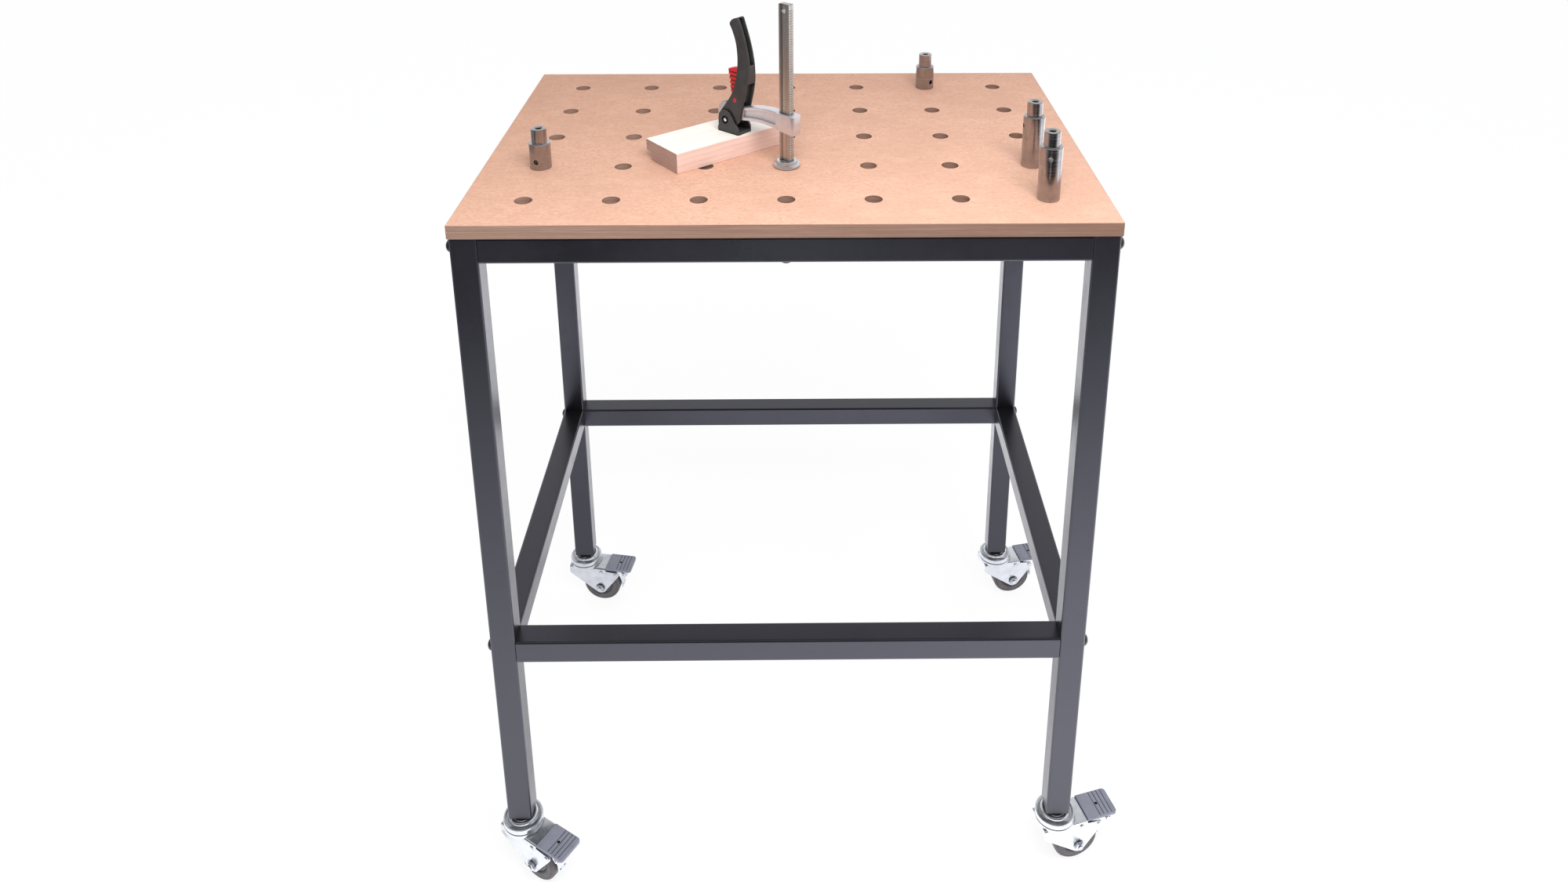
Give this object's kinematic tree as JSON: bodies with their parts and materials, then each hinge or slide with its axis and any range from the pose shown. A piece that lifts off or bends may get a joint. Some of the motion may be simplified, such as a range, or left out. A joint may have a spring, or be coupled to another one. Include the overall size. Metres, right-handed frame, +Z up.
{
  "type": "mobile clamping workbench",
  "caption": "Mobile clamping bench: perforated board top on a bolted square-tube frame with braked swivel casters, bench dogs and a lever hold-down clamp.",
  "frame": {"origin": "centre of the middle dog hole, at the worktop's upper surface", "axes": "+X right along the long side, +Y to the back, +Z up"},
  "size_m": [0.7906, 0.5642, 1.108],
  "materials": {
    "mdf": "sealed fine-fibre board, warm peach tan, matt",
    "powder_coat": "satin black powder coat",
    "black_fastener": "black oxide, semi gloss",
    "plain_steel": "plain turned steel",
    "plug_plastic": "black moulded nylon",
    "bright_zinc": "bright zinc plated pressed steel",
    "tyre_rubber": "dark grey rubber",
    "hub_plastic": "mid grey moulded plastic",
    "pedal_plastic": "blue grey moulded plastic",
    "turned_steel": "turned bright steel, fine rings",
    "pine": "planed pine, pale with straight grain",
    "zinc_bar": "drawn zinc plated steel",
    "cast_metal": "satin die cast light alloy",
    "lever_plastic": "glass filled nylon, fine texture",
    "trigger_plastic": "red moulded plastic"
  },
  "bodies": {
    "root": {"table_top": "mdf", "leg_fl": "powder_coat", "leg_fr": "powder_coat", "leg_bl": "powder_coat", "leg_br": "powder_coat", "top_rail_front": "powder_coat", "top_rail_back": "powder_coat", "top_rail_left": "powder_coat", "top_rail_right": "powder_coat", "lower_rail_front": "powder_coat", "lower_rail_back": "powder_coat", "lower_rail_left": "powder_coat", "lower_rail_right": "powder_coat", "rail_end_plugs": "plain_steel", "frame_bolts": "black_fastener", "frame_washers": "black_fastener", "top_fixing_bolts": "black_fastener", "top_threaded_inserts": "plain_steel", "leg_end_plugs": "plug_plastic", "caster_stems": "plain_steel", "caster_top_races": "bright_zinc", "caster_bearing_cages": "plain_steel"},
    "caster_fl": {"caster_fork_fl": "bright_zinc", "caster_axle_set_fl": "bright_zinc"},
    "wheel_fl": {"caster_tyre_fl": "tyre_rubber", "caster_hub_fl": "hub_plastic"},
    "brake_fl": {"brake_lever_fl": "bright_zinc", "brake_pedal_fl": "pedal_plastic"},
    "caster_fr": {"caster_fork_fr": "bright_zinc", "caster_axle_set_fr": "bright_zinc"},
    "wheel_fr": {"caster_tyre_fr": "tyre_rubber", "caster_hub_fr": "hub_plastic"},
    "brake_fr": {"brake_lever_fr": "bright_zinc", "brake_pedal_fr": "pedal_plastic"},
    "caster_bl": {"caster_fork_bl": "bright_zinc", "caster_axle_set_bl": "bright_zinc"},
    "wheel_bl": {"caster_tyre_bl": "tyre_rubber", "caster_hub_bl": "hub_plastic"},
    "brake_bl": {"brake_lever_bl": "bright_zinc", "brake_pedal_bl": "pedal_plastic"},
    "caster_br": {"caster_fork_br": "bright_zinc", "caster_axle_set_br": "bright_zinc"},
    "wheel_br": {"caster_tyre_br": "tyre_rubber", "caster_hub_br": "hub_plastic"},
    "brake_br": {"brake_lever_br": "bright_zinc", "brake_pedal_br": "pedal_plastic"},
    "dog_short_left_body": {"dog_short_left": "turned_steel"},
    "dog_short_back_body": {"dog_short_back": "turned_steel"},
    "dog_long_right_body": {"dog_long_right": "turned_steel"},
    "dog_long_front_body": {"dog_long_front": "turned_steel"},
    "workpiece": {"workpiece_block": "pine"},
    "clamp_post": {"clamp_bar": "zinc_bar", "clamp_collar_stud": "zinc_bar"},
    "clamp_slider": {"clamp_arm": "cast_metal", "clamp_lever_pin": "plain_steel"},
    "clamp_handle": {"clamp_lever": "lever_plastic", "clamp_foot_pins": "plain_steel"},
    "clamp_release": {"clamp_trigger": "trigger_plastic"},
    "clamp_shoe": {"clamp_foot": "lever_plastic"}
  },
  "joints": [
    {"name": "caster_swivel_fl", "type": "hinge", "parent": "root", "child": "caster_fl", "pos_m": [-0.34, -0.238, -0.8436], "axis": [0, 0, 1], "continuous": true},
    {"name": "wheel_spin_fl", "type": "hinge", "parent": "caster_fl", "child": "wheel_fl", "pos_m": [-0.31625, -0.25284, -0.881], "axis": [0.5299, 0.848, 0], "continuous": true},
    {"name": "brake_press_fl", "type": "hinge", "parent": "caster_fl", "child": "brake_fl", "pos_m": [-0.31413, -0.25416, -0.8508], "axis": [0.5299, 0.848, 0], "range_deg": [0, 6]},
    {"name": "caster_swivel_fr", "type": "hinge", "parent": "root", "child": "caster_fr", "pos_m": [0.34, -0.238, -0.8436], "axis": [0, 0, 1], "continuous": true},
    {"name": "wheel_spin_fr", "type": "hinge", "parent": "caster_fr", "child": "wheel_fr", "pos_m": [0.36698, -0.23052, -0.881], "axis": [-0.2672, 0.9636, 0], "continuous": true},
    {"name": "brake_press_fr", "type": "hinge", "parent": "caster_fr", "child": "brake_fr", "pos_m": [0.36939, -0.22985, -0.8508], "axis": [-0.2672, 0.9636, 0], "range_deg": [0, 6]},
    {"name": "caster_swivel_bl", "type": "hinge", "parent": "root", "child": "caster_bl", "pos_m": [-0.34, 0.238, -0.8436], "axis": [0, 0, 1], "continuous": true},
    {"name": "wheel_spin_bl", "type": "hinge", "parent": "caster_bl", "child": "wheel_bl", "pos_m": [-0.31238, 0.23338, -0.881], "axis": [0.165, 0.9863, 0], "continuous": true},
    {"name": "brake_press_bl", "type": "hinge", "parent": "caster_bl", "child": "brake_bl", "pos_m": [-0.30992, 0.23297, -0.8508], "axis": [0.165, 0.9863, 0], "range_deg": [0, 6]},
    {"name": "caster_swivel_br", "type": "hinge", "parent": "root", "child": "caster_br", "pos_m": [0.34, 0.238, -0.8436], "axis": [0, 0, 1], "continuous": true},
    {"name": "wheel_spin_br", "type": "hinge", "parent": "caster_br", "child": "wheel_br", "pos_m": [0.36749, 0.24334, -0.881], "axis": [-0.1908, 0.9816, 0], "continuous": true},
    {"name": "brake_press_br", "type": "hinge", "parent": "caster_br", "child": "brake_br", "pos_m": [0.36994, 0.24382, -0.8508], "axis": [-0.1908, 0.9816, 0], "range_deg": [0, 6]},
    {"name": "dog_short_left_lift", "type": "slide", "parent": "root", "child": "dog_short_left_body", "axis": [0, 0, 1], "range_m": [0, 0.06]},
    {"name": "dog_short_back_lift", "type": "slide", "parent": "root", "child": "dog_short_back_body", "axis": [0, 0, 1], "range_m": [0, 0.06]},
    {"name": "dog_long_right_lift", "type": "slide", "parent": "root", "child": "dog_long_right_body", "axis": [0, 0, 1], "range_m": [0, 0.06]},
    {"name": "dog_long_front_lift", "type": "slide", "parent": "root", "child": "dog_long_front_body", "axis": [0, 0, 1], "range_m": [0, 0.06]},
    {"name": "workpiece_slide", "type": "slide", "parent": "root", "child": "workpiece", "axis": [-0.7804, -0.6252, 0], "range_m": [0, 0.12]},
    {"name": "clamp_turn", "type": "hinge", "parent": "root", "child": "clamp_post", "pos_m": [0, -0.096, 0], "axis": [0, 0, 1], "continuous": true},
    {"name": "arm_slide", "type": "slide", "parent": "clamp_post", "child": "clamp_slider", "axis": [0, 0, 1], "range_m": [0, 0.12]},
    {"name": "lever_swing", "type": "hinge", "parent": "clamp_slider", "child": "clamp_handle", "pos_m": [-0.06971, -0.03751, 0.0455], "axis": [-0.6428, -0.766, 0], "range_deg": [0, 90]},
    {"name": "foot_level", "type": "hinge", "parent": "clamp_handle", "child": "clamp_shoe", "pos_m": [-0.06665, -0.04008, 0.041], "axis": [-0.6428, -0.766, 0], "range_deg": [-90, 0]},
    {"name": "trigger_press", "type": "hinge", "parent": "clamp_handle", "child": "clamp_release", "pos_m": [-0.05592, -0.04908, 0.068], "axis": [-0.6428, -0.766, 0], "range_deg": [-7, 0]}
  ],
  "couplings": [
    {"joint": "foot_level", "follows": "lever_swing", "ratio": -1}
  ]
}
